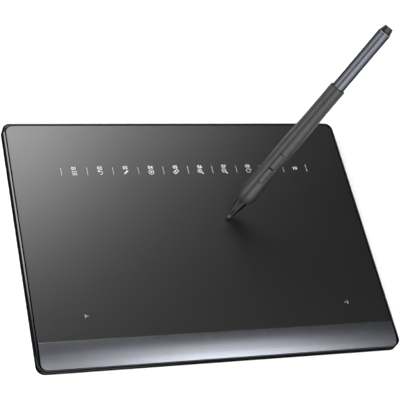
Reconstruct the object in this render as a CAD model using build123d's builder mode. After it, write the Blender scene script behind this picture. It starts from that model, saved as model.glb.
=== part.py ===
from build123d import *

import os
from math import asin, degrees

# A thin graphics tablet with its pen, which stands on the drawing surface on its nib.
# Lengths are in millimetres and angles in degrees. X runs to the right, Y away from the user
# and Z up. The origin is under the middle of the tablet, where its feet rest.

# Tablet as a whole
tablet_width = 224.4
tablet_depth = 167.4
corner_radius = 5.2
shell_height = 7.8
foot_height = 0.8
lower_shell_height = 3.7
underside_round = 1.5
seam_chamfer = 0.3

# Shoulder, rim, groove and front strip
shoulder_width = 0.4
shoulder_drop = 0.55
shoulder_round = 0.3
rim_width = 1.2
rim_corner_radius = 6.6
bevel_width = 0.7
bevel_drop = 0.45
groove_width = 0.8
film_below_rim = 0.1
strip_depth = 16.5
front_drop = 1.4
front_lip = 0.35
pocket_front_radius = 3.9

# Sheets on top of the deck
sheet_thickness = 0.5
sheet_corner_radius = 5.0
sheet_edge_chamfer = 0.12
sheet_joint_radius = 0.4
sheet_joint_gap = 0.06
adhesive_thickness = 0.15
adhesive_margin = 1.5

# Walls
wall = 1.5
floor_thickness = 1.4
deck_thickness = 1.0
lip_thickness = 0.7
lip_height = 0.8

# Fits
overrun = 5.0
snug_gap = 0.03
fit_gap = 0.1
slide_gap = 0.2
nib_gap = 0.15
contact_gap = 0.05

# Screws that hold the two housings together
screw_radius = 1.0
screw_head_radius = 1.9
screw_head_height = 1.2
screw_head_recess = 0.3
screw_length = 3.9
screw_side_margin = 9.0
screw_front_margin = 23.5
screw_far_margin = 15.5
screw_columns = 2
screw_rows = 3
screw_hole_end_wall = 0.25
cross_slot_width = 0.45
cross_slot_length = 2.2
cross_slot_depth = 0.6
post_radius = 3.2
boss_radius = 2.7
boss_root_round = 0.3

# Rubber feet
foot_length = 26.0
foot_width = 8.0
foot_recess = 0.6
foot_margin_x = 26.0
foot_margin_y = 11.0
foot_edge_round = 0.3

# Shallow label field in the underside, left bare
label_length = 62.0
label_width = 26.0
label_recess = 0.2
label_radius = 2.0

# Sensor stack under the deck
sensor_side_margin = 21.0
sensor_front_margin = 7.0
sensor_board_gap = 4.5
sensor_thickness = 0.8
sensor_radius = 3.0
connector_zone = 7.0
stack_margin = 1.0
insulation_thickness = 0.2
shield_thickness = 0.3
foam_thickness = 0.6
rib_thickness = 1.0
rib_columns = 5
rib_rows = 3

# Controller board and what sits on it
board_length = 62.0
board_depth = 17.0
board_thickness = 0.8
board_post_height = 1.4
board_post_radius = 1.5
board_post_margin = 3.0
chip_side = 7.0
chip_height = 0.9
chip_x = -16.0
can_length = 3.2
can_width = 2.5
can_height = 0.8
can_chip_gap = 2.0
connector_length = 19.0
connector_depth = 4.0
connector_height = 1.0
ribbon_width = 16.0
ribbon_thickness = 0.15
ribbon_x = 20.0
ribbon_bend = 0.8
ribbon_level_share = 0.5

# Cable socket in the far wall
socket_width = 8.94
socket_height = 3.2
socket_length = 7.3
socket_radius = 1.3
socket_wall = 0.3
socket_setback = 0.5
tongue_width = 6.7
tongue_thickness = 0.7
tongue_length = 4.5
tongue_base_length = 1.6

# Where and how the pen stands
pen_elevation = 54.5
pen_heading = 34.5
pen_roll = 20.0
nib_spot_x = 19.7
nib_spot_y = 9.9

# Nib and the plunger that carries it
nib_radius = 0.75
nib_exposed = 1.6
nib_travel = 0.6
plunger_radius = 1.2
plunger_grip = 4.5
plunger_length = 6.5

# Nose cone
nose_tip_radius = 1.65
nose_tip_length = 1.8
nose_groove = 0.15
nose_base_radius = 4.2
nose_bulge = 0.12
nose_length = 16.2
nose_bore_length = 6.9
nose_cavity_radius = 2.45
nose_spigot_length = 6.2

# Barrels, grip and cap
front_barrel_bore = 3.4
rear_barrel_radius = 3.95
rear_barrel_shown = 41.9
rear_barrel_bore = 3.15
barrel_joint_length = 6.0
barrel_joint_from_grip = 4.3
grip_start = 15.8
grip_end = 107.3
grip_lip_radius = 4.6
grip_swell_radius = 6.15
grip_button_radius = 5.6
grip_hand_radius = 5.2
grip_top_radius = 5.05
grip_swell_share = 0.062
grip_button_shares = (0.2, 0.4)
grip_hand_share = 0.66
grip_top_round = 0.4
cap_length = 4.4
cap_ring_length = 0.6
cap_ring_radius = 3.8
cap_base_radius = 3.75
cap_end_radius = 2.75
cap_end_round = 0.5
cap_plug_length = 6.5
facet_side = 2.7
facet_depth = 0.28
facet_place_share = 0.55

# Side buttons and their switches
button_width = 2.9
button_length = 11.0
button_start = 32.9
button_split = 0.5
button_proud = 0.45
button_travel = 0.5
button_end_round = 1.35
button_edge_round = 0.4
button_tab_length = 0.9
button_tab_width = 2.0
button_tab_thickness = 0.5
button_inner_round = 0.3
switch_length = 3.0
switch_width = 2.6
switch_height = 0.55
switch_plunger_radius = 0.6
switch_plunger_height = 0.3

# Inside the pen
ferrite_radius = 1.6
ferrite_bore = 1.0
ferrite_length = 11.0
coil_thickness = 0.5
coil_length = 8.0
carrier_radius = 3.3
carrier_length = 70.0
carrier_wall = 1.0
sensor_disc_radius = 2.1
sensor_disc_thickness = 2.2
sensor_disc_gap = 0.1
pen_board_length = 56.0
pen_board_width = 5.4
pen_board_thickness = 0.8
pen_board_level = 0.2
capacitor_length = 1.6
capacitor_width = 0.9
capacitor_height = 0.7
capacitor_spacing = 4.0
capacitor_count = 3
capacitor_place_share = 0.75

# Heights that follow from the sizes above
underside_z = foot_height
floor_top_z = underside_z + floor_thickness
seam_z = underside_z + lower_shell_height
rim_z = underside_z + shell_height
film_z = rim_z - film_below_rim
shoulder_z = rim_z - shoulder_drop
deck_top_z = film_z - sheet_thickness - adhesive_thickness
deck_under_z = deck_top_z - deck_thickness
sensor_under_z = deck_under_z - sensor_thickness
insulation_under_z = sensor_under_z - insulation_thickness
shield_under_z = insulation_under_z - shield_thickness
foam_under_z = shield_under_z - foam_thickness
board_under_z = floor_top_z + board_post_height
board_top_z = board_under_z + board_thickness
socket_z = board_under_z + board_thickness / 2

# Places in plan that follow from the sizes above
front_y = -tablet_depth / 2
far_y = tablet_depth / 2
strip_back_y = front_y + strip_depth
front_curve_radius = (strip_depth**2 + front_drop**2) / (2 * front_drop)
front_curve_angle = degrees(asin((strip_depth + overrun) / front_curve_radius))
film_inset = rim_width + groove_width
trim_inset = front_lip + fit_gap
far_pocket_radius = sheet_corner_radius + groove_width
trim_corner_radius = pocket_front_radius - fit_gap
screw_span_x = tablet_width - 2 * screw_side_margin
screw_span_y = tablet_depth - screw_front_margin - screw_far_margin
screw_spacing = screw_span_y / (screw_rows - 1)
screw_centre_y = (screw_front_margin - screw_far_margin) / 2
board_y = far_y - wall - stack_margin / 2 - board_depth / 2
sensor_width = tablet_width - 2 * sensor_side_margin
sensor_front_y = strip_back_y + sensor_front_margin
sensor_far_y = board_y - board_depth / 2 - sensor_board_gap
sensor_depth = sensor_far_y - sensor_front_y
sensor_y = (sensor_front_y + sensor_far_y) / 2
stack_width = sensor_width - 2 * stack_margin
stack_depth = sensor_depth - stack_margin - connector_zone
stack_y = sensor_y + (stack_margin - connector_zone) / 2

os.makedirs("parts", exist_ok=True)


def plan_outline(side, front, far, front_radius, far_radius):
    """Plan of the tablet, drawn in from its sides, its front edge and its far edge."""
    with BuildSketch(Plane.XY) as outline:
        with Locations((0, (front - far) / 2)):
            Rectangle(tablet_width - 2 * side, tablet_depth - front - far)
        fillet(outline.vertices().group_by(Axis.Y)[0], front_radius)
        fillet(outline.vertices().group_by(Axis.Y)[-1], far_radius)
    return outline.sketch


def even_outline(inset):
    """Plan of the tablet, drawn in by the same amount all round."""
    radius = corner_radius - inset
    return plan_outline(inset, inset, inset, radius, radius)


def over_surface(lowered):
    """Side view of all that lies over the top surface, with that surface lowered by a thickness.

    The surface is level over the film, and curves down to the front edge over the strip.
    """
    level = film_z - lowered
    with BuildSketch(Plane.YZ) as region:
        with BuildLine():
            curve = JernArc((strip_back_y, level), (-1, 0), front_curve_radius, front_curve_angle)
            Polyline(
                curve @ 1,
                (front_y - overrun, rim_z + overrun),
                (far_y + overrun, rim_z + overrun),
                (far_y + overrun, level),
                (strip_back_y, level),
            )
        make_face()
    return region.sketch


def socket_outline(grown):
    """Face view of the cable socket, in the plane of the far wall, grown on every side."""
    face = Plane(origin=(0, far_y, socket_z), x_dir=(1, 0, 0), z_dir=(0, 1, 0))
    with BuildSketch(face) as outline:
        RectangleRounded(
            socket_width + 2 * grown,
            socket_height + 2 * grown,
            socket_radius + grown,
        )
    return outline.sketch


# The screws stand in a grid of two columns along the sides
screw_plane = Plane(origin=(0, screw_centre_y, 0))
screw_grid = GridLocations(screw_span_x, screw_spacing, screw_columns, screw_rows)
screw_seat_z = underside_z + screw_head_recess + screw_head_height

# The feet sit in recesses near the four corners
foot_places = {
    "front_left": (-tablet_width / 2 + foot_margin_x, front_y + foot_margin_y),
    "front_right": (tablet_width / 2 - foot_margin_x, front_y + foot_margin_y),
    "rear_left": (-tablet_width / 2 + foot_margin_x, far_y - foot_margin_y),
    "rear_right": (tablet_width / 2 - foot_margin_x, far_y - foot_margin_y),
}

# Bottom housing: a tray with a lip, screw posts, ribs and the recesses of its feet
with BuildPart() as bottom_housing:
    with BuildSketch(Plane.XY.offset(underside_z)):
        add(even_outline(0))
    extrude(amount=lower_shell_height)
    fillet(bottom_housing.faces().sort_by(Axis.Z)[0].edges(), underside_round)
    chamfer(bottom_housing.faces().sort_by(Axis.Z)[-1].edges(), seam_chamfer)
    with BuildSketch(Plane.XY.offset(seam_z)):
        add(even_outline(wall - lip_thickness))
    extrude(amount=lip_height)
    with BuildSketch(Plane.XY.offset(floor_top_z)):
        add(even_outline(wall))
    extrude(amount=shell_height, mode=Mode.SUBTRACT)
    with BuildSketch(Plane.XY.offset(floor_top_z)):
        with Locations((0, stack_y)):
            with GridLocations(stack_width / rib_columns, 0, rib_columns, 1):
                Rectangle(rib_thickness, stack_depth)
            with GridLocations(0, stack_depth / rib_rows, 1, rib_rows):
                Rectangle(stack_width, rib_thickness)
    extrude(amount=foam_under_z - floor_top_z)
    with BuildSketch(screw_plane.offset(floor_top_z)):
        with screw_grid:
            Circle(post_radius)
    extrude(amount=seam_z - floor_top_z)
    with BuildSketch(Plane.XY.offset(floor_top_z)):
        with Locations((0, board_y)):
            with GridLocations(
                board_length - 2 * board_post_margin,
                board_depth - 2 * board_post_margin,
                2,
                2,
            ):
                Circle(board_post_radius)
    extrude(amount=board_post_height)
    with BuildSketch(screw_plane.offset(underside_z)):
        with screw_grid:
            Circle(screw_head_radius + slide_gap)
    extrude(amount=screw_head_height + screw_head_recess, mode=Mode.SUBTRACT)
    with BuildSketch(screw_plane.offset(underside_z)):
        with screw_grid:
            Circle(screw_radius + fit_gap)
    extrude(amount=lower_shell_height, mode=Mode.SUBTRACT)
    with BuildSketch(Plane.XY.offset(underside_z)):
        with Locations(*foot_places.values()):
            SlotOverall(foot_length + 2 * fit_gap, foot_width + 2 * fit_gap)
    extrude(amount=foot_recess, mode=Mode.SUBTRACT)
    with BuildSketch(Plane.XY.offset(underside_z)):
        RectangleRounded(label_length, label_width, label_radius)
    extrude(amount=label_recess, mode=Mode.SUBTRACT)
    extrude(socket_outline(fit_gap), amount=-socket_length, mode=Mode.SUBTRACT)
bottom_housing.part.label = "bottom_housing"
export_step(bottom_housing.part, "parts/bottom_housing.step")

# Pocket in the top housing that takes the film and the front strip
with BuildPart() as sheet_pocket:
    with BuildSketch(Plane.XY.offset(seam_z)):
        add(plan_outline(rim_width, front_lip, rim_width, pocket_front_radius, far_pocket_radius))
    extrude(amount=shell_height)
    extrude(
        over_surface(sheet_thickness + adhesive_thickness),
        amount=tablet_width / 2,
        both=True,
        mode=Mode.INTERSECT,
    )

# Top housing: rounded shoulder, bevelled rim, groove, deck, and the bosses for the screws
front_roof_z = seam_z + lip_height + fit_gap
with BuildPart() as top_housing:
    with BuildSketch(Plane.XY.offset(seam_z)):
        add(even_outline(0))
    extrude(amount=shoulder_z - seam_z)
    fillet(top_housing.faces().sort_by(Axis.Z)[-1].edges(), shoulder_round)
    with BuildSketch(Plane.XY.offset(shoulder_z)):
        side = shoulder_width
        add(plan_outline(side, side, side, rim_corner_radius, rim_corner_radius))
    extrude(amount=shoulder_drop)
    chamfer(
        top_housing.faces().sort_by(Axis.Z)[-1].edges(),
        bevel_width,
        bevel_drop,
        reference=top_housing.faces().sort_by(Axis.Z)[-1],
    )
    extrude(
        over_surface(-film_below_rim),
        amount=tablet_width / 2 + overrun,
        both=True,
        mode=Mode.SUBTRACT,
    )
    add(sheet_pocket.part, mode=Mode.SUBTRACT)
    with BuildSketch(Plane.XY.offset(seam_z)):
        inner_radius = corner_radius - wall
        add(plan_outline(wall, strip_depth, wall, wall, inner_radius))
    extrude(amount=deck_under_z - seam_z, mode=Mode.SUBTRACT)
    with BuildSketch(Plane.XY.offset(seam_z)):
        add(even_outline(wall - lip_thickness - fit_gap))
    extrude(amount=front_roof_z - seam_z, mode=Mode.SUBTRACT)
    with BuildSketch(screw_plane.offset(seam_z)):
        with screw_grid:
            Circle(boss_radius)
    extrude(amount=deck_under_z - seam_z)
    with BuildSketch(screw_plane.offset(seam_z)):
        with screw_grid:
            Circle(screw_radius + snug_gap)
    extrude(amount=deck_under_z - seam_z - screw_hole_end_wall, mode=Mode.SUBTRACT)
    extrude(socket_outline(fit_gap), amount=-socket_length, mode=Mode.SUBTRACT)
top_housing.part.label = "top_housing"
export_step(top_housing.part, "parts/top_housing.step")

# Drawing film: a flat matte sheet with a fine bevelled edge
with BuildPart() as drawing_film:
    with BuildSketch(Plane.XY.offset(film_z - sheet_thickness)):
        film_front = strip_depth + sheet_joint_gap
        add(plan_outline(film_inset, film_front, film_inset, sheet_joint_radius, sheet_corner_radius))
    extrude(amount=sheet_thickness)
    film_top_edges = drawing_film.faces().sort_by(Axis.Z)[-1].edges()
    chamfer(film_top_edges.sort_by(Axis.Y)[1:], sheet_edge_chamfer)
drawing_film.part.label = "drawing_film"
export_step(drawing_film.part, "parts/drawing_film.step")

# Adhesive sheet that holds the film to the deck
with BuildPart() as film_adhesive:
    with BuildSketch(Plane.XY.offset(deck_top_z)):
        side = film_inset + adhesive_margin
        radius = sheet_corner_radius - adhesive_margin
        add(plan_outline(side, strip_depth + adhesive_margin, side, sheet_joint_radius, radius))
    extrude(amount=adhesive_thickness)
film_adhesive.part.label = "film_adhesive"
export_step(film_adhesive.part, "parts/film_adhesive.step")

# Front strip: a thin sheet that curves down to the front edge
with BuildPart() as front_trim:
    with BuildSketch(Plane.XY.offset(seam_z)):
        add(
            plan_outline(
                film_inset,
                trim_inset,
                tablet_depth - strip_depth,
                trim_corner_radius,
                sheet_joint_radius,
            )
        )
    extrude(amount=shell_height)
    extrude(
        over_surface(sheet_thickness),
        amount=tablet_width / 2,
        both=True,
        mode=Mode.INTERSECT,
    )
    extrude(over_surface(0), amount=tablet_width / 2, both=True, mode=Mode.SUBTRACT)
front_trim.part.label = "front_trim"
export_step(front_trim.part, "parts/front_trim.step")

# Adhesive band under the front strip
with BuildPart() as trim_adhesive:
    with BuildSketch(Plane.XY.offset(seam_z)):
        add(
            plan_outline(
                film_inset + adhesive_margin,
                trim_inset + adhesive_margin,
                tablet_depth - strip_depth + adhesive_margin,
                trim_corner_radius - adhesive_margin,
                sheet_joint_radius,
            )
        )
    extrude(amount=shell_height)
    extrude(
        over_surface(sheet_thickness + adhesive_thickness),
        amount=tablet_width / 2,
        both=True,
        mode=Mode.INTERSECT,
    )
    extrude(over_surface(sheet_thickness), amount=tablet_width / 2, both=True, mode=Mode.SUBTRACT)
trim_adhesive.part.label = "trim_adhesive"
export_step(trim_adhesive.part, "parts/trim_adhesive.step")

# Sensor board: the antenna grid that reads the pen, held against the deck
with BuildPart() as sensor_board:
    with BuildSketch(Plane.XY.offset(sensor_under_z)):
        with Locations((0, sensor_y)):
            RectangleRounded(sensor_width, sensor_depth, sensor_radius)
    extrude(amount=sensor_thickness)
sensor_board.part.label = "sensor_board"
export_step(sensor_board.part, "parts/sensor_board.step")

# Insulating sheet under the sensor board
with BuildPart() as insulating_sheet:
    with BuildSketch(Plane.XY.offset(insulation_under_z)):
        with Locations((0, stack_y)):
            RectangleRounded(stack_width, stack_depth, sensor_radius)
    extrude(amount=insulation_thickness)
insulating_sheet.part.label = "insulating_sheet"
export_step(insulating_sheet.part, "parts/insulating_sheet.step")

# Steel shield behind the sensor
with BuildPart() as shield_plate:
    with BuildSketch(Plane.XY.offset(shield_under_z)):
        with Locations((0, stack_y)):
            RectangleRounded(stack_width, stack_depth, sensor_radius)
    extrude(amount=shield_thickness)
shield_plate.part.label = "shield_plate"
export_step(shield_plate.part, "parts/shield_plate.step")

# Foam that presses the stack against the deck
with BuildPart() as foam_pad:
    with BuildSketch(Plane.XY.offset(foam_under_z)):
        with Locations((0, stack_y)):
            RectangleRounded(stack_width, stack_depth, sensor_radius)
    extrude(amount=foam_thickness)
foam_pad.part.label = "foam_pad"
export_step(foam_pad.part, "parts/foam_pad.step")

# Controller board along the far wall, notched round the cable socket
socket_back_y = far_y - socket_setback - socket_length
with BuildPart() as controller_board:
    with BuildSketch(Plane.XY.offset(board_under_z)):
        with Locations((0, board_y)):
            Rectangle(board_length, board_depth)
        notch_depth = far_y - socket_back_y + fit_gap
        with Locations((0, far_y - notch_depth / 2)):
            Rectangle(socket_width + 2 * fit_gap, notch_depth, mode=Mode.SUBTRACT)
    extrude(amount=board_thickness)
controller_board.part.label = "controller_board"
export_step(controller_board.part, "parts/controller_board.step")

# Controller chip
with BuildPart() as controller_chip:
    with BuildSketch(Plane.XY.offset(board_top_z)):
        with Locations((chip_x, board_y)):
            Rectangle(chip_side, chip_side)
    extrude(amount=chip_height)
controller_chip.part.label = "controller_chip"
export_step(controller_chip.part, "parts/controller_chip.step")

# Oscillator can beside the chip
with BuildPart() as oscillator_can:
    with BuildSketch(Plane.XY.offset(board_top_z)):
        with Locations((chip_x - chip_side / 2 - can_chip_gap - can_length / 2, board_y)):
            RectangleRounded(can_length, can_width, can_width / 4)
    extrude(amount=can_height)
oscillator_can.part.label = "oscillator_can"
export_step(oscillator_can.part, "parts/oscillator_can.step")

# Metal shell of the cable socket, open towards the far side
with BuildPart() as usb_shell:
    extrude(socket_outline(0), amount=-socket_setback - socket_length)
    socket_inside = socket_setback + socket_length - socket_wall
    extrude(socket_outline(-socket_wall), amount=-socket_inside, mode=Mode.SUBTRACT)
    extrude(socket_outline(overrun), amount=-socket_setback, mode=Mode.SUBTRACT)
usb_shell.part.label = "usb_shell"
export_step(usb_shell.part, "parts/usb_shell.step")

# Contact tongue inside the socket
tongue_base_y = socket_back_y + socket_wall
with BuildPart() as usb_tongue:
    with BuildSketch(Plane(origin=(0, tongue_base_y, socket_z), x_dir=(1, 0, 0), z_dir=(0, 1, 0))):
        RectangleRounded(
            socket_width - 2 * socket_wall - 2 * snug_gap,
            socket_height - 2 * socket_wall - 2 * snug_gap,
            socket_radius - socket_wall - snug_gap,
        )
    extrude(amount=tongue_base_length)
    with BuildSketch(Plane(origin=(0, tongue_base_y, socket_z), x_dir=(1, 0, 0), z_dir=(0, 1, 0))):
        Rectangle(tongue_width, tongue_thickness)
    extrude(amount=tongue_base_length + tongue_length)
usb_tongue.part.label = "usb_tongue"
export_step(usb_tongue.part, "parts/usb_tongue.step")

# Two connectors joined by the ribbon: one under the sensor board, one on the controller board
sensor_connector_y = sensor_far_y - stack_margin - connector_depth / 2
board_connector_y = board_y - board_depth / 2 + stack_margin + connector_depth / 2
with BuildPart() as ribbon_connectors:
    with BuildSketch(Plane.XY.offset(sensor_under_z - connector_height)):
        with Locations((ribbon_x, sensor_connector_y)):
            Rectangle(connector_length, connector_depth)
    extrude(amount=connector_height)
    with BuildSketch(Plane.XY.offset(board_top_z)):
        with Locations((ribbon_x, board_connector_y)):
            Rectangle(connector_length, connector_depth)
    extrude(amount=connector_height)
ribbon_connectors.part.label = "ribbon_connectors"
export_step(ribbon_connectors.part, "parts/ribbon_connectors.step")

# Flat ribbon between the two connectors
ribbon_start = (
    sensor_connector_y + connector_depth / 2,
    sensor_under_z - connector_height * ribbon_level_share,
)
ribbon_stop = (
    board_connector_y - connector_depth / 2,
    board_top_z + connector_height * ribbon_level_share,
)
ribbon_run = (ribbon_stop[0] - ribbon_start[0]) / 3
with BuildPart() as sensor_ribbon:
    with BuildSketch(Plane.YZ.offset(ribbon_x)):
        with BuildLine() as ribbon_path:
            FilletPolyline(
                ribbon_start,
                (ribbon_start[0] + ribbon_run, ribbon_start[1]),
                (ribbon_stop[0] - ribbon_run, ribbon_stop[1]),
                ribbon_stop,
                radius=ribbon_bend,
            )
        trace(line_width=ribbon_thickness)
    extrude(amount=ribbon_width / 2, both=True)
sensor_ribbon.part.label = "sensor_ribbon"
export_step(sensor_ribbon.part, "parts/sensor_ribbon.step")

# Six pan-head screws with cross slots, driven from below
with BuildPart() as housing_screws:
    with BuildSketch(screw_plane.offset(screw_seat_z - screw_head_height)):
        with screw_grid:
            Circle(screw_head_radius)
    extrude(amount=screw_head_height)
    with BuildSketch(screw_plane.offset(screw_seat_z)):
        with screw_grid:
            Circle(screw_radius)
    extrude(amount=screw_length)
    with BuildSketch(screw_plane.offset(screw_seat_z - screw_head_height)):
        with screw_grid:
            Rectangle(cross_slot_length, cross_slot_width)
            Rectangle(cross_slot_width, cross_slot_length)
    extrude(amount=cross_slot_depth, mode=Mode.SUBTRACT)
housing_screws.part.label = "housing_screws"
export_step(housing_screws.part, "parts/housing_screws.step")

# Four rubber feet, each seated in its recess
for corner, (foot_x, foot_y) in foot_places.items():
    with BuildPart() as rubber_foot:
        with BuildSketch(Plane.XY):
            with Locations((foot_x, foot_y)):
                SlotOverall(foot_length, foot_width)
        extrude(amount=foot_height + foot_recess)
        fillet(rubber_foot.faces().sort_by(Axis.Z)[0].edges(), foot_edge_round)
    rubber_foot.part.label = f"rubber_foot_{corner}"
    export_step(rubber_foot.part, f"parts/rubber_foot_{corner}.step")

# The pen's own frame: its origin is the nib's end, and its axis rises to the cap.
# The round end of the nib touches the film at its lowest point.
pen_direction = Vector(1, 0, 0).rotate(Axis.Y, -pen_elevation).rotate(Axis.Z, pen_heading)
pen_uphill = Vector(0, 0, 1).rotate(Axis.Y, -pen_elevation).rotate(Axis.Z, pen_heading)
nib_end_z = film_z + contact_gap + nib_radius - nib_radius * pen_direction.Z
pen_origin = Vector(nib_spot_x, nib_spot_y, nib_end_z)
pen_facing = pen_uphill.rotate(Axis((0, 0, 0), pen_direction), pen_roll)
pen_frame = Plane(origin=pen_origin, x_dir=pen_facing, z_dir=pen_direction)
pen_side = Plane(origin=pen_origin, x_dir=pen_facing, z_dir=-pen_frame.y_dir)
pen_axis = Axis(pen_origin, pen_direction)
facing_axis = Axis(pen_origin, pen_facing)

# Stations along the pen, from the nib's end
nose_start = nib_exposed
nose_end = nose_start + nose_length
nose_shoulder = nose_start + nose_bore_length
front_barrel_end = grip_end - barrel_joint_from_grip
barrel_joint_end = front_barrel_end + barrel_joint_length
cap_start = grip_end + rear_barrel_shown
pen_length = cap_start + cap_length
carrier_start = nose_shoulder + ferrite_length
carrier_body_start = nose_end + nose_spigot_length + fit_gap
plunger_start = carrier_start + fit_gap
nib_length = plunger_start + plunger_grip
plunger_end = plunger_start + plunger_length
sensor_disc_start = plunger_end + nib_travel + sensor_disc_gap
pen_board_start = sensor_disc_start + sensor_disc_thickness + fit_gap
pen_board_top = pen_board_level + pen_board_thickness
switch_top = pen_board_top + switch_height + switch_plunger_height
button_under = switch_top + button_travel + fit_gap
button_top = grip_button_radius + button_proud
carrier_end = carrier_start + carrier_length
button_middles = {
    "lower": button_start + button_length / 2,
    "upper": button_start + button_length + button_split + button_length / 2,
}
buttons_end = button_start + 2 * button_length + button_split


def ring_profile(inner, outer, start, end):
    """Side profile of a plain ring round the pen's axis, between two stations."""
    with BuildSketch(pen_side) as profile:
        with Locations(((inner + outer) / 2, (start + end) / 2)):
            Rectangle(outer - inner, end - start)
    return profile.sketch


def facing_plane(level):
    """Plane square to the direction that the buttons face, at a distance from the axis.

    Its X runs along the pen towards the cap.
    """
    origin = pen_origin + pen_facing * level
    return Plane(origin=origin, x_dir=pen_direction, z_dir=pen_facing)


def button_slot():
    """Outline of the opening that both buttons stand in, seen from the side that they face."""
    with BuildSketch(facing_plane(0)) as outline:
        with Locations(((button_start + buttons_end) / 2, 0)):
            RectangleRounded(
                buttons_end - button_start + 2 * slide_gap,
                button_width + 2 * slide_gap,
                button_end_round + slide_gap,
            )
    return outline.sketch


# Nose cone: a short straight tip, a shallow groove, a convex cone and a spigot into the barrel
with BuildPart() as nose_cone:
    with BuildSketch(pen_side):
        with BuildLine():
            tip_end = nose_start + nose_tip_length
            Polyline(
                (nib_radius + nib_gap, nose_start),
                (nose_tip_radius, nose_start),
                (nose_tip_radius, tip_end),
                (nose_tip_radius - nose_groove, tip_end),
                (nose_tip_radius - nose_groove, tip_end + nose_groove),
                (nose_tip_radius + nose_groove, tip_end + nose_groove),
            )
            ThreePointArc(
                (nose_tip_radius + nose_groove, tip_end + nose_groove),
                (
                    (nose_tip_radius + nose_groove + nose_base_radius) / 2 + nose_bulge,
                    (tip_end + nose_groove + nose_end) / 2,
                ),
                (nose_base_radius, nose_end),
            )
            Polyline(
                (nose_base_radius, nose_end),
                (front_barrel_bore - snug_gap, nose_end),
                (front_barrel_bore - snug_gap, nose_end + nose_spigot_length),
                (nose_cavity_radius, nose_end + nose_spigot_length),
                (nose_cavity_radius, nose_shoulder),
                (nib_radius + nib_gap, nose_shoulder),
                (nib_radius + nib_gap, nose_start),
            )
        make_face()
    revolve(axis=pen_axis)
nose_cone.part.label = "nose_cone"
export_step(nose_cone.part, "parts/nose_cone.step")

# Front barrel: the tube under the grip, necked at its far end to enter the rear barrel
with BuildPart() as front_barrel:
    neck_start = front_barrel_end - carrier_wall
    neck_radius = rear_barrel_bore - snug_gap
    neck_bore = neck_radius - carrier_wall
    tube = ring_profile(front_barrel_bore, nose_base_radius, nose_end, front_barrel_end)
    revolve(tube, axis=pen_axis)
    collar = ring_profile(neck_bore, nose_base_radius, neck_start, front_barrel_end)
    revolve(collar, axis=pen_axis)
    neck = ring_profile(neck_bore, neck_radius, front_barrel_end, barrel_joint_end)
    revolve(neck, axis=pen_axis)
    extrude(button_slot(), amount=nose_base_radius + overrun, mode=Mode.SUBTRACT)
front_barrel.part.label = "front_barrel"
export_step(front_barrel.part, "parts/front_barrel.step")

# Grip: a soft sleeve that swells near the nose and ends in a step
grip_length = grip_end - grip_start
grip_bore = nose_base_radius + snug_gap
grip_swell_station = grip_start + grip_length * grip_swell_share
with BuildPart() as grip_sleeve:
    with BuildSketch(pen_side):
        with BuildLine():
            TangentArc(
                (grip_swell_radius, grip_swell_station),
                (grip_lip_radius, grip_start),
                tangent=(0, -1),
            )
            Spline(
                (grip_swell_radius, grip_swell_station),
                (grip_button_radius, grip_start + grip_length * grip_button_shares[0]),
                (grip_button_radius, grip_start + grip_length * grip_button_shares[1]),
                (grip_hand_radius, grip_start + grip_length * grip_hand_share),
                (grip_top_radius, grip_end - grip_top_round),
                tangents=((0, 1), (0, 1)),
            )
            TangentArc(
                (grip_top_radius, grip_end - grip_top_round),
                (grip_top_radius - grip_top_round, grip_end),
                tangent=(0, 1),
            )
            Polyline(
                (grip_top_radius - grip_top_round, grip_end),
                (grip_bore, grip_end),
                (grip_bore, grip_start),
                (grip_lip_radius, grip_start),
            )
        make_face()
    revolve(axis=pen_axis)
    extrude(button_slot(), amount=grip_swell_radius + overrun, mode=Mode.SUBTRACT)
grip_sleeve.part.label = "grip_sleeve"
export_step(grip_sleeve.part, "parts/grip_sleeve.step")

# Rear barrel: a plain metal-coloured tube
with BuildPart() as rear_barrel:
    tube_start = front_barrel_end + fit_gap
    tube = ring_profile(rear_barrel_bore, rear_barrel_radius, tube_start, cap_start)
    revolve(tube, axis=pen_axis)
rear_barrel.part.label = "rear_barrel"
export_step(rear_barrel.part, "parts/rear_barrel.step")

# Thin ring between the rear barrel and the cap
cap_plug_radius = rear_barrel_bore - snug_gap
cap_body_start = cap_start + cap_ring_length
with BuildPart() as cap_ring:
    revolve(
        ring_profile(cap_plug_radius + snug_gap, cap_ring_radius, cap_start, cap_body_start),
        axis=pen_axis,
    )
cap_ring.part.label = "cap_ring"
export_step(cap_ring.part, "parts/cap_ring.step")

# End cap: a tapered plug with one flat facet on the side that the buttons face
cap_slope = (cap_base_radius - cap_end_radius) / (pen_length - cap_body_start)
facet_station = cap_body_start + (pen_length - cap_body_start) * facet_place_share
facet_level = cap_base_radius - cap_slope * (facet_station - cap_body_start) - facet_depth
facet_normal = pen_facing + pen_direction * cap_slope
facet_along = pen_direction - pen_facing * cap_slope
facet_plane = Plane(
    origin=pen_origin + pen_direction * facet_station + pen_facing * facet_level,
    x_dir=facet_along,
    z_dir=facet_normal,
)
with BuildPart() as end_cap:
    with BuildSketch(pen_side) as cap_profile:
        with BuildLine():
            Polyline(
                (0, cap_start - cap_plug_length),
                (cap_plug_radius, cap_start - cap_plug_length),
                (cap_plug_radius, cap_body_start),
                (cap_base_radius, cap_body_start),
                (cap_end_radius, pen_length),
                (0, pen_length),
                close=True,
            )
        make_face()
        fillet(cap_profile.vertices().group_by(Axis.Y)[-1].sort_by(Axis.X)[-1], cap_end_round)
    revolve(axis=pen_axis)
    with BuildSketch(facet_plane):
        Rectangle(facet_side, facet_side)
    extrude(amount=facet_side, mode=Mode.SUBTRACT)
end_cap.part.label = "end_cap"
export_step(end_cap.part, "parts/end_cap.step")

# Ferrite core, seated on the shoulder inside the nose cone, with the coil wound on it
with BuildPart() as ferrite_core:
    core = ring_profile(ferrite_bore, ferrite_radius, nose_shoulder, carrier_start)
    revolve(core, axis=pen_axis)
ferrite_core.part.label = "ferrite_core"
export_step(ferrite_core.part, "parts/ferrite_core.step")

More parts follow.
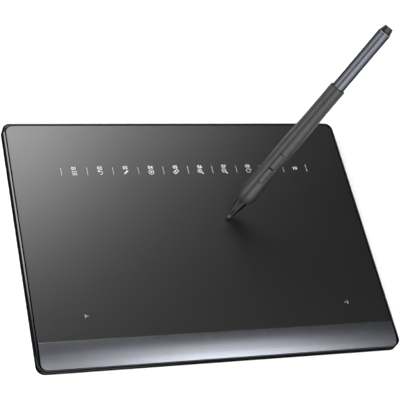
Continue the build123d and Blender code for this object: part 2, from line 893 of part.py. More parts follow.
coil_start = nose_shoulder + (ferrite_length - coil_length) / 2
coil_bore = ferrite_radius + snug_gap
with BuildPart() as sensing_coil:
    revolve(
        ring_profile(coil_bore, coil_bore + coil_thickness, coil_start, coil_start + coil_length),
        axis=pen_axis,
    )
sensing_coil.part.label = "sensing_coil"
export_step(sensing_coil.part, "parts/sensing_coil.step")

# Carrier: the inner chassis, with a collar against the core, a chamber for the plunger and
# the pressure sensor, and a flat bed for the circuit board
chamber_radius = sensor_disc_radius + snug_gap
chamber_end = sensor_disc_start + sensor_disc_thickness
with BuildPart() as pen_carrier:
    collar_radius = nose_cavity_radius - snug_gap
    collar = ring_profile(0, collar_radius, carrier_start, carrier_body_start)
    revolve(collar, axis=pen_axis)
    body = ring_profile(0, carrier_radius, carrier_body_start, carrier_end)
    revolve(body, axis=pen_axis)
    plunger_bore = ring_profile(0, plunger_radius + nib_gap, carrier_start, chamber_end)
    revolve(plunger_bore, axis=pen_axis, mode=Mode.SUBTRACT)
    chamber = ring_profile(0, chamber_radius, sensor_disc_start, chamber_end)
    revolve(chamber, axis=pen_axis, mode=Mode.SUBTRACT)
    bed_length = carrier_end - chamber_end
    with BuildSketch(facing_plane(pen_board_level)):
        with Locations((chamber_end + bed_length / 2, 0)):
            Rectangle(bed_length, 2 * carrier_radius)
    extrude(amount=carrier_radius, mode=Mode.SUBTRACT)
pen_carrier.part.label = "pen_carrier"
export_step(pen_carrier.part, "parts/pen_carrier.step")

# Pressure sensor at the end of the plunger's travel
with BuildPart() as pressure_sensor:
    revolve(ring_profile(0, sensor_disc_radius, sensor_disc_start, chamber_end), axis=pen_axis)
pressure_sensor.part.label = "pressure_sensor"
export_step(pressure_sensor.part, "parts/pressure_sensor.step")

# Circuit board on the bed of the carrier
with BuildPart() as pen_board:
    with BuildSketch(facing_plane(pen_board_level)):
        with Locations((pen_board_start + pen_board_length / 2, 0)):
            Rectangle(pen_board_length, pen_board_width)
    extrude(amount=pen_board_thickness)
pen_board.part.label = "pen_board"
export_step(pen_board.part, "parts/pen_board.step")

# Tuning capacitors in a row on the board
with BuildPart() as tuning_capacitors:
    with BuildSketch(facing_plane(pen_board_top)):
        with Locations((pen_board_start + pen_board_length * capacitor_place_share, 0)):
            with GridLocations(capacitor_spacing, 0, capacitor_count, 1):
                Rectangle(capacitor_length, capacitor_width)
    extrude(amount=capacitor_height)
tuning_capacitors.part.label = "tuning_capacitors"
export_step(tuning_capacitors.part, "parts/tuning_capacitors.step")

# A switch on the board under each button
for place, middle in button_middles.items():
    with BuildPart() as switch:
        with BuildSketch(facing_plane(pen_board_top)):
            with Locations((middle, 0)):
                Rectangle(switch_length, switch_width)
        extrude(amount=switch_height)
        with BuildSketch(facing_plane(pen_board_top + switch_height)):
            with Locations((middle, 0)):
                Circle(switch_plunger_radius)
        extrude(amount=switch_plunger_height)
    switch.part.label = f"{place}_switch"
    export_step(switch.part, f"parts/{place}_switch.step")

# Nib: a slim rod with a round end
with BuildPart() as nib:
    with BuildSketch(pen_side):
        with BuildLine():
            TangentArc((0, 0), (nib_radius, nib_radius), tangent=(1, 0))
            Polyline(
                (nib_radius, nib_radius),
                (nib_radius, nib_length),
                (0, nib_length),
                (0, 0),
            )
        make_face()
    revolve(axis=pen_axis)
nib.part.label = "nib"
export_step(nib.part, "parts/nib.step")

# Plunger: a cup that grips the nib and pushes on the pressure sensor
with BuildPart() as nib_plunger:
    revolve(ring_profile(0, plunger_radius, plunger_start, plunger_end), axis=pen_axis)
    revolve(
        ring_profile(0, nib_radius + snug_gap, plunger_start, nib_length),
        axis=pen_axis,
        mode=Mode.SUBTRACT,
    )
nib_plunger.part.label = "nib_plunger"
export_step(nib_plunger.part, "parts/nib_plunger.step")

# Two side buttons: pads with rounded edges and a tab under the barrel's wall at the outer end
for place, middle in button_middles.items():
    outward = -1 if place == "lower" else 1
    outer_end = 0 if place == "lower" else -1
    inner_end = -1 if place == "lower" else 0
    tab_run = button_length / 2 + button_tab_length
    with BuildPart() as button:
        with BuildSketch(facing_plane(button_under)) as pad:
            with Locations((middle, 0)):
                Rectangle(button_length, button_width)
            ends = pad.vertices().group_by(Axis.X)
            fillet(ends[outer_end], button_end_round)
            fillet(pad.vertices().group_by(Axis.X)[inner_end], button_inner_round)
        extrude(amount=button_top - button_under)
        fillet(button.faces().sort_by(facing_axis)[-1].edges(), button_edge_round)
        with BuildSketch(facing_plane(button_under)):
            with Locations((middle + outward * tab_run / 2, 0)):
                Rectangle(tab_run, button_tab_width)
        extrude(amount=button_tab_thickness)
    button.part.label = f"{place}_button"
    export_step(button.part, f"parts/{place}_button.step")
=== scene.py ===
import math

import bmesh
import bpy
from mathutils import Matrix, Vector


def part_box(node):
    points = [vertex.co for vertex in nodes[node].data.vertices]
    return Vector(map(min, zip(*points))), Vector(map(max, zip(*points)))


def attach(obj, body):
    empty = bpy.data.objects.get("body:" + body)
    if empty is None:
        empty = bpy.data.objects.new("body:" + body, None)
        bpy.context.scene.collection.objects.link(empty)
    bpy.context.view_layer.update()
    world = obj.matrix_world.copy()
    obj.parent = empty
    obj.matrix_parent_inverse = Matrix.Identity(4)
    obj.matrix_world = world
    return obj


# Thin graphics tablet with its pen. Lengths are in metres and angles in degrees.
# X runs to the right, Y away from the user and Z up, as in the solids.

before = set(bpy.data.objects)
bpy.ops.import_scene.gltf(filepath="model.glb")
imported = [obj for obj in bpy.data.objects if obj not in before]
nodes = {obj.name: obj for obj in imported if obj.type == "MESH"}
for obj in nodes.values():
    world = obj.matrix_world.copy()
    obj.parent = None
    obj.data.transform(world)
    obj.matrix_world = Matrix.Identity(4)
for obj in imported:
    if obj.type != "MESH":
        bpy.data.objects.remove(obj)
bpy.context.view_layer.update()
scene = bpy.context.scene
scene.view_settings.view_transform = "Standard"

MM = 0.001

# Boxes of the solids that finishes and marks keep to
film_low, film_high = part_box("drawing_film")
shell_low, shell_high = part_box("top_housing")
strip_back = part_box("front_trim")[1].y


# Camera. Azimuths turn from straight in front of the object towards its right.

CAMERA_PLACE = Vector((-253.9, -358.6, 610.3)) * MM
CAMERA_AZIMUTH = -34.06
CAMERA_ELEVATION = 52.48
CAMERA_ROLL = 26.83
CAMERA_NEAR = 0.05
CAMERA_FAR = 20

# In millimetres, as the camera takes them
CAMERA_LENS = 109.6
CAMERA_SENSOR = 36.0


def aimed(azimuth, elevation, roll=0):
    """Turn of what looks back at the object from a direction, and that direction."""
    around = math.radians(azimuth)
    above = math.radians(elevation)
    back = Vector((
        math.sin(around) * math.cos(above),
        -math.cos(around) * math.cos(above),
        math.sin(above),
    ))
    right = Vector((0, 0, 1)).cross(back).normalized()
    up = back.cross(right)
    turn = Matrix((right, up, back)).transposed()
    return turn @ Matrix.Rotation(math.radians(roll), 3, "Z"), back


def add_camera():
    data = bpy.data.cameras.new("photo_camera")
    data.sensor_width = CAMERA_SENSOR
    data.lens = CAMERA_LENS
    data.clip_start = CAMERA_NEAR
    data.clip_end = CAMERA_FAR
    camera = bpy.data.objects.new("photo_camera", data)
    turn, back = aimed(CAMERA_AZIMUTH, CAMERA_ELEVATION, CAMERA_ROLL)
    camera.matrix_world = Matrix.Translation(CAMERA_PLACE) @ turn.to_4x4()
    scene.collection.objects.link(camera)
    scene.camera = camera


add_camera()


# Studio light

LAMP_DISTANCE = 1.5

# Azimuth, elevation, width and height as angles, radiance
SOFTBOXES = {
    # Mirrored by the film, most of all by its far left corner
    "back_wall": (
        (169, 46.5, 16, 11, 2.6),
        (173, 50, 12, 10, 3.3),
        (178, 53, 16, 11, 4.4),
        (158, 44, 14, 10, 2.15),
    ),
    # Mirrored by the bent strip, from its back edge to its front edge
    "upper_right": (
        (120, 70, 14, 8, 0.27),
        (108, 66, 12, 8, 0.97),
        (108, 73, 14, 7, 0.68),
        (95, 67, 10, 8, 0.6),
        (95, 72, 10, 6, 1.3),
        (83, 66, 10, 8, 1.5),
        (83, 72, 10, 8, 0.4),
        (83, 78, 14, 6, 0.25),
        (70, 70, 12, 12, 0.68),
    ),
    # The pen's left side
    "left_wall": (
        (-92, 15, 20, 20, 5.4),
        (-92, 27, 26, 42, 6.0),
        (-92, 40, 20, 20, 3.6),
        (-60, 25, 24, 40, 0.8),
    ),
    # The pen's front, and the flat of its cap
    "front_wall": (
        (-22, 20, 20, 24, 5.2),
        (-7, 27, 44, 38, 6.8),
        (15, 8, 40, 16, 5.0),
        (-10, 54, 14, 12, 7.5),
    ),
    # Everything that faces up
    "overhead": (
        (180, 86, 14, 12, 0.77),
        (0, 80, 20, 12, 1.75),
    ),
    # The rim's bevel, and what faces back near the floor
    "low_strips": (
        (-127, 31, 13, 15, 15.0),
        (168, 5, 75, 10, 3.0),
    ),
}

# The surroundings are white at the floor and fade to a dim room. Both ends are the upward part of
# a direction, from 0 for level to 1 for straight up.
ROOM_COLOR = (0.02, 0.02, 0.021, 1)
ROOM_FADE_START = 0.1
ROOM_FADE_END = 0.4


def lamp_span(angle):
    """Width of a lamp that fills an angle as seen from the object."""
    return 2 * LAMP_DISTANCE * math.tan(math.radians(angle / 2))


def add_softboxes():
    for group, panels in SOFTBOXES.items():
        for azimuth, elevation, width, height, radiance in panels:
            data = bpy.data.lights.new(group, "AREA")
            data.shape = "RECTANGLE"
            data.size = lamp_span(width)
            data.size_y = lamp_span(height)
            data.energy = radiance * math.pi * data.size * data.size_y
            lamp = bpy.data.objects.new(group, data)
            turn, back = aimed(azimuth, elevation)
            lamp.matrix_world = Matrix.Translation(back * LAMP_DISTANCE) @ turn.to_4x4()
            lamp.visible_camera = False
            scene.collection.objects.link(lamp)


def add_surroundings():
    world = bpy.data.worlds.new("studio")
    world.use_nodes = True
    scene.world = world
    tree = world.node_tree
    direction = tree.nodes.new("ShaderNodeTexCoord")
    split = tree.nodes.new("ShaderNodeSeparateXYZ")
    rise = tree.nodes.new("ShaderNodeMapRange")
    rise.inputs["From Min"].default_value = ROOM_FADE_START
    rise.inputs["From Max"].default_value = ROOM_FADE_END
    room = tree.nodes.new("ShaderNodeMix")
    room.data_type = "RGBA"
    room.inputs["A"].default_value = (1, 1, 1, 1)
    room.inputs["B"].default_value = ROOM_COLOR
    tree.links.new(direction.outputs["Generated"], split.inputs["Vector"])
    tree.links.new(split.outputs["Z"], rise.inputs["Value"])
    tree.links.new(rise.outputs["Result"], room.inputs["Factor"])
    tree.links.new(room.outputs["Result"], tree.nodes["Background"].inputs["Color"])


add_softboxes()
add_surroundings()


# What every finish is made of

# Nearly all of a noise's values lie between these two
NOISE_LOW = 0.3
NOISE_HIGH = 0.7


class Finish:
    """A procedural material round one shader, patterned on the piece's own place.

    Patterns are given by their number of cells per metre.
    """

    def __init__(self, name, color, roughness, metallic=0.0, specular=0.5):
        self.material = bpy.data.materials.new(name)
        self.material.use_nodes = True
        self.tree = self.material.node_tree
        self.shader = self.tree.nodes["Principled BSDF"]
        self.color = color
        self.roughness = roughness
        self.set("Base Color", (*color, 1))
        self.set("Roughness", roughness)
        self.set("Metallic", metallic)
        self.set("Specular IOR Level", specular)
        self.place = self.add("ShaderNodeTexCoord").outputs["Object"]

    def set(self, name, value):
        """Give the shader a value that is the same all over the surface."""
        self.shader.inputs[name].default_value = value

    def feed(self, name, source):
        """Give the shader a value that changes over the surface."""
        self.link(source, self.shader.inputs[name])

    def add(self, kind, **settings):
        node = self.tree.nodes.new(kind)
        for key, value in settings.items():
            setattr(node, key, value)
        return node

    def link(self, source, target):
        self.tree.links.new(source, target)

    def axes(self):
        """X, Y and Z of the piece's own place."""
        split = self.add("ShaderNodeSeparateXYZ")
        self.link(self.place, split.inputs["Vector"])
        return split.outputs

    def calculate(self, operation, first, second):
        """One step of arithmetic on numbers or on other steps' results."""
        step = self.add("ShaderNodeMath", operation=operation)
        for socket, value in zip(step.inputs, (first, second)):
            if isinstance(value, (int, float)):
                socket.default_value = value
            else:
                self.link(value, socket)
        return step.outputs[0]

    def rescale(self, source, start, end, low=0.0, high=1.0):
        """The source's values from start to end, turned into values from low to high."""
        scale = self.add("ShaderNodeMapRange")
        scale.inputs["From Min"].default_value = start
        scale.inputs["From Max"].default_value = end
        scale.inputs["To Min"].default_value = low
        scale.inputs["To Max"].default_value = high
        self.link(source, scale.inputs["Value"])
        return scale.outputs["Result"]

    def noise(self, cells, detail):
        texture = self.add("ShaderNodeTexNoise")
        texture.inputs["Scale"].default_value = cells
        texture.inputs["Detail"].default_value = detail
        self.link(self.place, texture.inputs["Vector"])
        return texture.outputs["Fac"]

    def vary_roughness(self, cells, spread):
        low = self.roughness - spread
        high = self.roughness + spread
        patches = self.noise(cells, detail=2.0)
        self.feed("Roughness", self.rescale(patches, NOISE_LOW, NOISE_HIGH, low, high))

    def vary_color(self, cells, share):
        """Shade the colour by a share of itself, darker and lighter."""
        mix = self.add("ShaderNodeMix", data_type="RGBA")
        for end, level in (("A", 1 - share), ("B", 1 + share)):
            mix.inputs[end].default_value = (*[part * level for part in self.color], 1)
        patches = self.noise(cells, detail=4.0)
        self.link(self.rescale(patches, NOISE_LOW, NOISE_HIGH), mix.inputs["Factor"])
        self.feed("Base Color", mix.outputs["Result"])

    def grain(self, cells, depth):
        """Raise the surface by a fine grain."""
        bump = self.add("ShaderNodeBump")
        bump.inputs["Strength"].default_value = 1
        bump.inputs["Distance"].default_value = depth
        self.link(self.noise(cells, detail=2.0), bump.inputs["Height"])
        self.feed("Normal", bump.outputs["Normal"])


# Floor

FLOOR_SIZE = 8

# The floor glows by a share of white that grows with the distance from the object: near it the
# lamps light the floor, and far away they don't.
NEAR_GLOW = 0.2
FAR_GLOW = 1.0
NEAR_GLOW_END = 0.5
FAR_GLOW_START = 1.3


def floor_finish():
    """Matte white paint whose glow shows only to the camera, in mirrors and through glass."""
    finish = Finish("pale_floor", (0.9, 0.9, 0.9), roughness=0.9, specular=0)
    rays = finish.add("ShaderNodeLightPath").outputs
    seen = rays["Is Camera Ray"]
    for kind in ("Is Glossy Ray", "Is Transmission Ray"):
        seen = finish.calculate("MAXIMUM", seen, rays[kind])
    distance = finish.add("ShaderNodeVectorMath", operation="LENGTH")
    finish.link(finish.place, distance.inputs[0])
    away = distance.outputs["Value"]
    glow = finish.rescale(away, NEAR_GLOW_END, FAR_GLOW_START, NEAR_GLOW, FAR_GLOW)
    finish.feed("Emission Strength", finish.calculate("MULTIPLY", seen, glow))
    finish.set("Emission Color", (1, 1, 1, 1))
    return finish.material


def add_floor():
    bpy.ops.mesh.primitive_plane_add(size=FLOOR_SIZE)
    floor = bpy.context.object
    floor.name = "studio_floor"
    floor.data.materials.append(floor_finish())


add_floor()


# Finishes of the tablet and the pen

MOULDING_COLOR = (0.0035, 0.0035, 0.0038)

# Lacquer on the rim round the sheets and on the lower half's edge along the front of the seam
LACQUER_COVER = 0.5
LACQUER_ROUGHNESS = 0.14
LACQUER_IOR = 1.6
LACQUER_FADE = 0.03 * MM
RIM_HEIGHT = 0.5 * MM
SEAM_EDGE_HEIGHT = 0.32 * MM
SEAM_EDGE_REACH = 3 * MM

# Radius of the bend that the strip and the rim beside it share
STRIP_BEND = 97.9 * MM

# In a plain finish, patches of even gloss and of even colour are this many grains across
GLOSS_PATCH = 8
COLOR_PATCH = 20
GLOSS_SPREAD = 0.05
GLOSS_SPREAD_SHARE = 0.25
COLOR_SHARE = 0.12


def film_finish():
    """Satin black drawing film with a fine even tooth and a trace of use."""
    finish = Finish("satin_film", (0.006, 0.006, 0.0063), roughness=0.28, specular=1.0)
    finish.vary_roughness(cells=200, spread=0.006)
    finish.vary_color(cells=500, share=0.08)
    finish.grain(cells=4200, depth=0.0002 * MM)
    return finish.material


def trim_finish():
    """Silver sheet with a glossy face."""
    finish = Finish("silver_sheet", (0.45, 0.47, 0.52), roughness=0.22, metallic=1.0)
    finish.vary_roughness(cells=100, spread=0.005)
    finish.vary_color(cells=400, share=0.02)
    finish.grain(cells=1500, depth=0.0001 * MM)
    return finish.material


def moulding_finish(name):
    """Spark-grained black moulding."""
    finish = Finish(name, MOULDING_COLOR, roughness=0.5, specular=0)
    finish.vary_roughness(cells=400, spread=0.06)
    finish.vary_color(cells=90, share=0.15)
    finish.grain(cells=2600, depth=0.004 * MM)
    return finish


def lacquer(finish, cover):
    """Lacquer the part of a moulding that the cover marks with 1."""
    finish.feed("Coat Weight", finish.calculate("MULTIPLY", cover, LACQUER_COVER))
    finish.set("Coat Roughness", LACQUER_ROUGHNESS)
    finish.set("Coat IOR", LACQUER_IOR)


def lower_finish():
    """The lower half: grained, with its upper edge lacquered along the front."""
    finish = moulding_finish("lower_moulding")
    place = finish.axes()
    edge_low = shell_low.z - SEAM_EDGE_HEIGHT
    high = finish.rescale(place["Z"], edge_low, edge_low + LACQUER_FADE)
    front = finish.rescale(place["Y"], shell_low.y + SEAM_EDGE_REACH, shell_low.y)
    lacquer(finish, finish.calculate("MULTIPLY", high, front))
    return finish.material


def upper_finish():
    """The upper half: grained, with a lacquered rim that sinks along the front with the strip."""
    finish = moulding_finish("top_moulding")
    place = finish.axes()
    ahead = finish.calculate("SUBTRACT", strip_back, place["Y"])
    reach = finish.calculate("MAXIMUM", ahead, 0)
    square = finish.calculate("MULTIPLY", reach, reach)
    drop = finish.calculate("DIVIDE", square, 2 * STRIP_BEND)
    level = finish.calculate("ADD", place["Z"], drop)
    rim_low = shell_high.z - RIM_HEIGHT
    lacquer(finish, finish.rescale(level, rim_low - LACQUER_FADE, rim_low + LACQUER_FADE))
    return finish.material


def grip_finish():
    """Soft-touch black rubber with a powdery tooth."""
    finish = Finish("soft_grip", (0.012, 0.012, 0.0123), roughness=0.4, specular=0.2)
    finish.vary_roughness(cells=500, spread=0.03)
    finish.vary_color(cells=1500, share=0.15)
    finish.grain(cells=2600, depth=0.004 * MM)
    return finish.material


def barrel_finish():
    """Dark anodised tube. Its dark specular tint is painted shade that keeps its edges dark."""
    finish = Finish("dark_tube", (0.046, 0.048, 0.055), roughness=0.36, metallic=1.0)
    # Painted shade: this dark tint dims the edges' reflections of the white floor
    finish.set("Specular Tint", (0.15, 0.15, 0.17, 1))
    finish.vary_roughness(cells=400, spread=0.02)
    finish.vary_color(cells=1200, share=0.06)
    finish.grain(cells=3000, depth=0.001 * MM)
    return finish.material


def ink_finish():
    """Pale grey screen print with slightly uneven cover."""
    finish = Finish("pale_ink", (0.62, 0.62, 0.62), roughness=0.5, specular=0.3)
    finish.vary_roughness(cells=2500, spread=0.06)
    finish.vary_color(cells=4000, share=0.1)
    finish.grain(cells=9000, depth=0.001 * MM)
    return finish.material


def plain_finish(name, color, roughness, metallic=0.0, specular=0.5, cells=2500, depth=0.003 * MM):
    """A moulding, sheet or metal with its own grain and slight unevenness."""
    finish = Finish(name, color, roughness, metallic, specular)
    spread = min(GLOSS_SPREAD, roughness * GLOSS_SPREAD_SHARE)
    finish.vary_roughness(cells / GLOSS_PATCH, spread)
    finish.vary_color(cells / COLOR_PATCH, COLOR_SHARE)
    finish.grain(cells, depth)
    return finish.material


def dress(names, finish):
    """Give solids of one material their finish."""
    for name in names:
        node = nodes[name]
        if not node.material_slots:
            node.data.materials.append(finish)
        for slot in node.material_slots:
            slot.material = finish


def dress_outside():
    feet = [name for name in nodes if name.startswith("rubber_foot")]
    dress(["drawing_film"], film_finish())
    dress(["front_trim"], trim_finish())
    dress(["top_housing"], upper_finish())
    dress(["bottom_housing"], lower_finish())
    dress(feet, plain_finish("foot_rubber", (0.02, 0.02, 0.02), 0.75, specular=0.3))
    dress(["housing_screws"], plain_finish("black_steel", (0.08, 0.08, 0.085), 0.35, metallic=1.0))
    dress(["grip_sleeve"], grip_finish())
    dress(["rear_barrel"], barrel_finish())
    dress(["cap_ring"], plain_finish("grey_ring", (0.05, 0.05, 0.055), 0.35))
    dress(["end_cap"], plain_finish("black_cap", (0.003, 0.003, 0.0033), 0.18, specular=0.2))
    dress(["nose_cone"], plain_finish("gloss_nose", (0.001, 0.001, 0.0011), 0.09, specular=0.28))
    dress(["nib"], plain_finish("hard_nib", (0.004, 0.004, 0.0042), 0.4, specular=0.15))
    button = plain_finish("satin_button", (0.01, 0.01, 0.0105), 0.36, specular=0.2)
    dress(["lower_button", "upper_button"], button)


def dress_inside():
    board = plain_finish("solder_mask", (0.02, 0.16, 0.07), 0.35)
    dress(["sensor_board", "controller_board", "pen_board"], board)
    tin = plain_finish("tinned_steel", (0.62, 0.62, 0.6), 0.32, metallic=1.0)
    dress(["shield_plate", "oscillator_can", "usb_shell", "lower_switch", "upper_switch"], tin)
    resin = plain_finish("black_resin", (0.02, 0.02, 0.02), 0.5)
    dress(["controller_chip", "usb_tongue", "ribbon_connectors", "pressure_sensor"], resin)
    inner = plain_finish("inner_moulding", (0.03, 0.03, 0.032), 0.5)
    dress(["front_barrel", "pen_carrier", "nib_plunger"], inner)
    glue = plain_finish("adhesive_sheet", (0.7, 0.7, 0.66), 0.6)
    dress(["film_adhesive", "trim_adhesive"], glue)
    foam = plain_finish("open_foam", (0.06, 0.06, 0.065), 0.95, cells=900, depth=0.1 * MM)
    dress(["foam_pad"], foam)
    dress(["insulating_sheet"], plain_finish("polyester_sheet", (0.75, 0.72, 0.6), 0.3))
    dress(["sensor_ribbon"], plain_finish("amber_ribbon", (0.5, 0.25, 0.06), 0.35))
    dress(["ferrite_core"], plain_finish("ferrite", (0.04, 0.04, 0.045), 0.6))
    dress(["sensing_coil"], plain_finish("copper_wire", (0.55, 0.22, 0.08), 0.35, metallic=1.0))
    dress(["tuning_capacitors"], plain_finish("ceramic", (0.45, 0.3, 0.18), 0.45))


dress_outside()
dress_inside()


# Printed marks: a row of numbered keys and the two front corners of the drawing area

INK_UNDER = 0.01 * MM
INK_OVER = 0.02 * MM
INK_LEVELS = (film_high.z - INK_UNDER, film_high.z + INK_OVER)
MERGE_DISTANCE = 0.0001 * MM

KEY_COUNT = 10
KEY_PITCH = 16.38 * MM
KEY_ROW_START = film_low.x + 30.1 * MM
KEY_ROW_MIDDLE = film_high.y - 34.7 * MM
DIVIDER_WIDTH = 0.2 * MM
DIVIDER_HEIGHT = 5.7 * MM
DIVIDER_CORNER_SHARE = 0.4
DIVIDER_CORNER_STEPS = 3
NUMBER_RISE = 2.2 * MM
ICON_DROP = 1.2 * MM

# The font is sized by more than its capitals, and a small offset makes the strokes bolder
NUMBER_HEIGHT = 2.35 * MM
CAPITAL_SHARE = 0.73
BOLDER_SHARE = 0.03
NUMBER_CURVE_STEPS = 3

# Middle of each corner mark, and the side that its arm points to
CORNER_MARKS = (
    (film_low.x + 29.3 * MM, film_low.y + 15.04 * MM, 1),
    (film_high.x - 25.5 * MM, film_low.y + 14.74 * MM, -1),
)

# Sizes of drawn marks, in millimetres as their outlines are
LINE = 0.36
THICK_LINE = 0.6
MINUS_LINE = 0.34
CORNER_LINE = 0.18
CORNER_HEIGHT = 2.6
CORNER_ARM = 2.1
LENS_MIDDLE = (-0.45, 0.35)


def divider_row_tree(material):
    """Upright rounded bars in a row, each raised a little from the plane that it stands on."""
    tree = bpy.data.node_groups.new("divider_row", "GeometryNodeTree")
    sockets = tree.interface
    sockets.new_socket("Bars", in_out="INPUT", socket_type="NodeSocketInt")
    for name in ("Pitch", "Width", "Height", "Rise"):
        sockets.new_socket(name, in_out="INPUT", socket_type="NodeSocketFloat")
    sockets.new_socket("Geometry", in_out="OUTPUT", socket_type="NodeSocketGeometry")

    sizes = tree.nodes.new("NodeGroupInput").outputs
    bar = tree.nodes.new("GeometryNodeCurvePrimitiveQuadrilateral")
    corner = tree.nodes.new("ShaderNodeMath")
    corner.operation = "MULTIPLY"
    corner.inputs[1].default_value = DIVIDER_CORNER_SHARE
    rounded = tree.nodes.new("GeometryNodeFilletCurve")
    rounded.mode = "POLY"
    rounded.inputs["Count"].default_value = DIVIDER_CORNER_STEPS
    face = tree.nodes.new("GeometryNodeFillCurve")
    face.mode = "NGONS"
    raised = tree.nodes.new("GeometryNodeExtrudeMesh")
    raised.mode = "FACES"
    raised.inputs["Individual"].default_value = False
    under = tree.nodes.new("GeometryNodeFlipFaces")
    both = tree.nodes.new("GeometryNodeJoinGeometry")
    closed = tree.nodes.new("GeometryNodeMergeByDistance")
    closed.inputs["Distance"].default_value = MERGE_DISTANCE
    step = tree.nodes.new("ShaderNodeCombineXYZ")
    line = tree.nodes.new("GeometryNodeMeshLine")
    line.mode = "OFFSET"
    row = tree.nodes.new("GeometryNodeInstanceOnPoints")
    real = tree.nodes.new("GeometryNodeRealizeInstances")
    inked = tree.nodes.new("GeometryNodeSetMaterial")
    inked.inputs["Material"].default_value = material
    result = tree.nodes.new("NodeGroupOutput")

    for source, target in (
        (sizes["Width"], bar.inputs["Width"]),
        (sizes["Height"], bar.inputs["Height"]),
        (sizes["Width"], corner.inputs[0]),
        (bar.outputs["Curve"], rounded.inputs["Curve"]),
        (corner.outputs[0], rounded.inputs["Radius"]),
        (rounded.outputs["Curve"], face.inputs["Curve"]),
        (face.outputs["Mesh"], raised.inputs["Mesh"]),
        (sizes["Rise"], raised.inputs["Offset Scale"]),
        (face.outputs["Mesh"], under.inputs["Mesh"]),
        (under.outputs["Mesh"], both.inputs["Geometry"]),
        (raised.outputs["Mesh"], both.inputs["Geometry"]),
        (both.outputs["Geometry"], closed.inputs["Geometry"]),
        (sizes["Bars"], line.inputs["Count"]),
        (sizes["Pitch"], step.inputs["X"]),
        (step.outputs["Vector"], line.inputs["Offset"]),
        (line.outputs["Mesh"], row.inputs["Points"]),
        (closed.outputs["Geometry"], row.inputs["Instance"]),
        (row.outputs["Instances"], real.inputs["Geometry"]),
        (real.outputs["Geometry"], inked.inputs["Geometry"]),
        (inked.outputs["Geometry"], result.inputs["Geometry"]),
    ):
        tree.links.new(source, target)
    return tree


def plain_mesh(holder, name):
    """The holder's finished shape as a plain mesh. The holder goes."""
    view = bpy.context.evaluated_depsgraph_get()
    mesh = bpy.data.meshes.new_from_object(holder.evaluated_get(view), depsgraph=view)
    mesh.name = name
    bpy.data.objects.remove(holder)
    return mesh


def divider_row(material):
    """Mesh of the dividers between the printed keys and at the row's ends."""
    holder = bpy.data.objects.new("divider_holder", bpy.data.meshes.new("divider_holder"))
    scene.collection.objects.link(holder)
    tree = divider_row_tree(material)
    modifier = holder.modifiers.new("row", "NODES")
    modifier.node_group = tree
    sizes = {
        "Bars": KEY_COUNT + 1,
        "Pitch": KEY_PITCH,
        "Width": DIVIDER_WIDTH,
        "Height": DIVIDER_HEIGHT,
        "Rise": INK_UNDER + INK_OVER,
    }
    for item in tree.interface.items_tree:
        if item.name in sizes:
            modifier[item.identifier] = sizes[item.name]
    mesh = plain_mesh(holder, "key_dividers")
    mesh.transform(Matrix.Translation((KEY_ROW_START, KEY_ROW_MIDDLE, INK_LEVELS[0])))
    return mesh


class Print:
    """Flat marks drawn in millimetres about a middle, as thin closed plates in the film's face.

    The middle is a place on the tablet, in metres.
    """

    def __init__(self):
        self.plates = bmesh.new()
        self.middle = (0, 0)

    def ring(self, outline, level):
        """An outline's points at one level."""
        x, y = self.middle
        return [self.plates.verts.new((x + px * MM, y + py * MM, level)) for px, py in outline]

    def plate(self, outline):
        """A filled outline, given anticlockwise."""
        low, high = [self.ring(outline, level) for level in INK_LEVELS]
        self.plates.faces.new(low[::-1])
        self.plates.faces.new(high)
        for i, j in pairs_round(len(outline)):
            self.plates.faces.new((low[i], low[j], high[j], high[i]))

    def stroke(self, points, width=LINE):
        """A line of even width with mitred bends."""
        left = offset_line(points, width / 2, closed=False)
        right = offset_line(points, -width / 2, closed=False)
        self.plate(right + left[::-1])

    def loop(self, points, width=LINE):
        """A closed line of even width, given anticlockwise."""
        inner = offset_line(points, width / 2, closed=True)
        outer = offset_line(points, -width / 2, closed=True)
        outer_low, outer_high = [self.ring(outer, level) for level in INK_LEVELS]
        inner_low, inner_high = [self.ring(inner, level) for level in INK_LEVELS]
        for i, j in pairs_round(len(points)):
            for quad in (
                (outer_low[i], outer_low[j], outer_high[j], outer_high[i]),
                (inner_low[j], inner_low[i], inner_high[i], inner_high[j]),
                (outer_high[i], outer_high[j], inner_high[j], inner_high[i]),
                (outer_low[j], outer_low[i], inner_low[i], inner_low[j]),
            ):
                self.plates.faces.new(quad)

    def number(self, text, x, y):
        """A number as a thin closed plate about a place on the tablet."""
        curve = bpy.data.curves.new("number", "FONT")
        curve.body = text
        curve.align_x = "CENTER"
        curve.align_y = "CENTER"
        curve.size = NUMBER_HEIGHT / CAPITAL_SHARE
        curve.offset = NUMBER_HEIGHT * BOLDER_SHARE
        curve.extrude = (INK_UNDER + INK_OVER) / 2
        curve.resolution_u = NUMBER_CURVE_STEPS
        holder = bpy.data.objects.new("number", curve)
        scene.collection.objects.link(holder)
        mesh = plain_mesh(holder, "number")
        mesh.transform(Matrix.Translation((x, y, sum(INK_LEVELS) / 2)))
        self.plates.from_mesh(mesh)
        bpy.data.meshes.remove(mesh)

    def mesh(self, name, material):
        bmesh.ops.remove_doubles(self.plates, verts=self.plates.verts, dist=MERGE_DISTANCE)
        made = bpy.data.meshes.new(name)
        self.plates.to_mesh(made)
        self.plates.free()
        made.materials.append(material)
        return made


def pairs_round(count):
    return [(i, (i + 1) % count) for i in range(count)]


def offset_line(points, distance, closed):
    """The line moved to its left by a distance, or to its right by a negative one."""
    moved = []
    count = len(points)
    for i, (x, y) in enumerate(points):
        normals = []
        if i > 0 or closed:
            normals.append(left_of(points[i - 1], points[i]))
        if i < count - 1 or closed:
            normals.append(left_of(points[i], points[(i + 1) % count]))
        across = sum(normals, Vector((0, 0)))
        across /= across.dot(normals[0])
        moved.append((x + across.x * distance, y + across.y * distance))
    return moved


def left_of(start, end):
    along = (Vector(end) - Vector(start)).normalized()
    return Vector((-along.y, along.x))


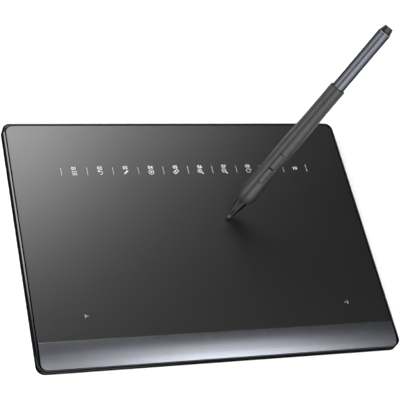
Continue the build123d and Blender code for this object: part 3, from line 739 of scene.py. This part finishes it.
def arc(radius, start, sweep, steps):
    """Points along an arc about the middle, anticlockwise from an angle."""
    angles = [math.radians(start + sweep * i / steps) for i in range(steps + 1)]
    return [(radius * math.cos(angle), radius * math.sin(angle)) for angle in angles]


def circle(radius, steps=24):
    return arc(radius, 0, 360, steps)[:-1]


def box(width, height):
    """Corners of a rectangle about the middle, anticlockwise."""
    x, y = width / 2, height / 2
    return [(-x, -y), (x, -y), (x, y), (-x, y)]


def turned(points, angle):
    c, s = math.cos(math.radians(angle)), math.sin(math.radians(angle))
    return [(x * c - y * s, x * s + y * c) for x, y in points]


def shifted(points, shift):
    return [(x + shift[0], y + shift[1]) for x, y in points]


def draw_menu(ink):
    for rise in (-1.2, 0, 1.2):
        ink.stroke([(1.6, rise), (-1.6, rise)])


def draw_back_arrow(ink):
    ink.stroke(arc(1.25, -110, 220, 16))
    ink.plate([(-1.9, 1.17), (-0.45, 0.3), (-0.45, 2.05)])


def draw_pen(ink):
    ink.plate(turned([(-0.9, -0.5), (1.9, -0.5), (1.9, 0.5), (-0.9, 0.5)], 45))
    ink.plate(turned([(-2.1, 0), (-1.2, -0.5), (-1.2, 0.5)], 45))


def draw_target(ink):
    ink.loop(circle(1.6))
    ink.plate(circle(0.6, 16))


def draw_eraser(ink):
    ink.loop(turned(box(3.4, 1.7), 40))
    ink.stroke(turned([(-0.4, 0.64), (-0.4, -0.64)], 40))


def draw_lens(ink):
    ink.loop(shifted(circle(1.3), LENS_MIDDLE))
    ink.stroke([(1.75, -1.85), (0.65, -0.75)], THICK_LINE)


def draw_closer(ink):
    draw_lens(ink)
    a, b = MINUS_LINE / 2, 0.7
    plus = [(-a, -b), (a, -b), (a, -a), (b, -a), (b, a), (a, a)]
    plus += [(a, b), (-a, b), (-a, a), (-b, a), (-b, -a), (-a, -a)]
    ink.plate(shifted(plus, LENS_MIDDLE))


def draw_wider(ink):
    draw_lens(ink)
    ink.stroke(shifted([(0.7, 0), (-0.7, 0)], LENS_MIDDLE), MINUS_LINE)


def draw_turn(ink):
    ink.stroke(arc(1.4, 60, 270, 20))
    ink.plate([(1.4, 1.4), (0.55, 0.35), (2.25, 0.35)])


def draw_frame(ink):
    ink.loop(box(3.4, 2.6))


ICONS = (
    draw_menu,
    draw_back_arrow,
    draw_pen,
    draw_target,
    draw_eraser,
    draw_closer,
    draw_wider,
    draw_turn,
    draw_frame,
)


def print_corners(ink):
    """Upright bars, each with an arm from its middle."""
    half, thick = CORNER_HEIGHT / 2, CORNER_LINE / 2
    mark = [(-thick, -half), (thick, -half), (thick, -thick), (CORNER_ARM, -thick)]
    mark += [(CORNER_ARM, thick), (thick, thick), (thick, half), (-thick, half)]
    mirrored = [(-x, y) for x, y in reversed(mark)]
    for x, y, side in CORNER_MARKS:
        ink.middle = (x, y)
        ink.plate(mark if side > 0 else mirrored)


def print_keys(ink):
    """A number for each key, above an icon where the key has one."""
    for key in range(KEY_COUNT):
        x = KEY_ROW_START + (key + 0.5) * KEY_PITCH
        y = KEY_ROW_MIDDLE
        if key < len(ICONS):
            ink.middle = (x, y - ICON_DROP)
            ICONS[key](ink)
            y += NUMBER_RISE
        ink.number(f"{key + 1:02d}", x, y)


def add_print(name, mesh):
    """A printed piece at the origin that moves with the tablet."""
    piece = bpy.data.objects.new(name, mesh)
    scene.collection.objects.link(piece)
    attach(piece, "tablet")


def print_marks():
    material = ink_finish()
    add_print("key_dividers", divider_row(material))
    ink = Print()
    print_corners(ink)
    print_keys(ink)
    add_print("printed_marks", ink.mesh("printed_marks", material))


print_marks()
